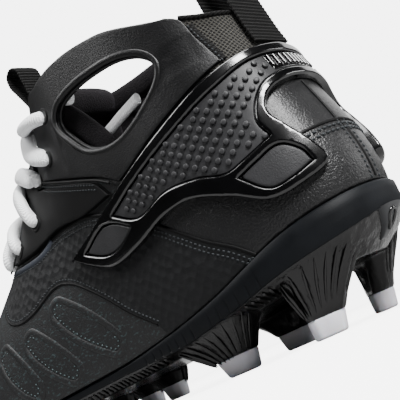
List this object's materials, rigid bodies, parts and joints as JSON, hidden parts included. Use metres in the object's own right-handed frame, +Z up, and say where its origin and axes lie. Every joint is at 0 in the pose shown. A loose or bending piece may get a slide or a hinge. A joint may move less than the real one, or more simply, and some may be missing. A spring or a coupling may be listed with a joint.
{
  "type": "lacrosse cleat",
  "caption": "Left lacrosse cleat: mid-cut upper with ankle windows, strap round the heel, lace, pull loops and a moulded plate on studs with pale tips.",
  "frame": {"origin": "on the floor under the middle of the shoe's box", "axes": "+X from heel to toe, +Y to the outer side of the left foot, +Z up from the stud tips"},
  "size_m": [0.288, 0.0974, 0.182],
  "materials": {
    "upper_textile": "matte black knit and pebbled synthetic",
    "collar_plastic": "satin black moulded film",
    "eyestay": "black coated textile",
    "strap_gloss": "glossy black moulding",
    "grip_matte": "matte black with small round pips",
    "inlay_gloss": "glossy black inlay",
    "foam": "matte slate foam",
    "lining": "black plush lining",
    "plate_gloss": "glossy black moulded plate",
    "stud_tip": "pale lilac-white plastic",
    "webbing": "ribbed black webbing",
    "lace": "white woven lace"
  },
  "bodies": {
    "root": {"eyestay_inner": "eyestay", "eyestay_outer": "eyestay", "heel_grip": "grip_matte", "heel_loop": "webbing", "heel_panel": "foam", "heel_strap": "strap_gloss", "inlay_front_inner": "inlay_gloss", "inlay_front_outer": "inlay_gloss", "inlay_rear_inner": "inlay_gloss", "inlay_rear_outer": "inlay_gloss", "insole": "lining", "lace": "lace", "lace_end": "lace", "midsole": "foam", "outsole": "plate_gloss", "tip_ball_inner_front": "stud_tip", "tip_ball_inner_mid": "stud_tip", "tip_ball_inner_rear": "stud_tip", "tip_ball_outer_front": "stud_tip", "tip_ball_outer_mid": "stud_tip", "tip_ball_outer_rear": "stud_tip", "tip_heel_inner_front": "stud_tip", "tip_heel_inner_rear": "stud_tip", "tip_heel_outer_front": "stud_tip", "tip_heel_outer_rear": "stud_tip", "tip_toe_inner": "stud_tip", "tip_toe_outer": "stud_tip", "tongue": "lining", "tongue_loop": "webbing", "upper": "upper_textile", "wing_inner": "collar_plastic", "wing_outer": "collar_plastic"}
  },
  "joints": []
}
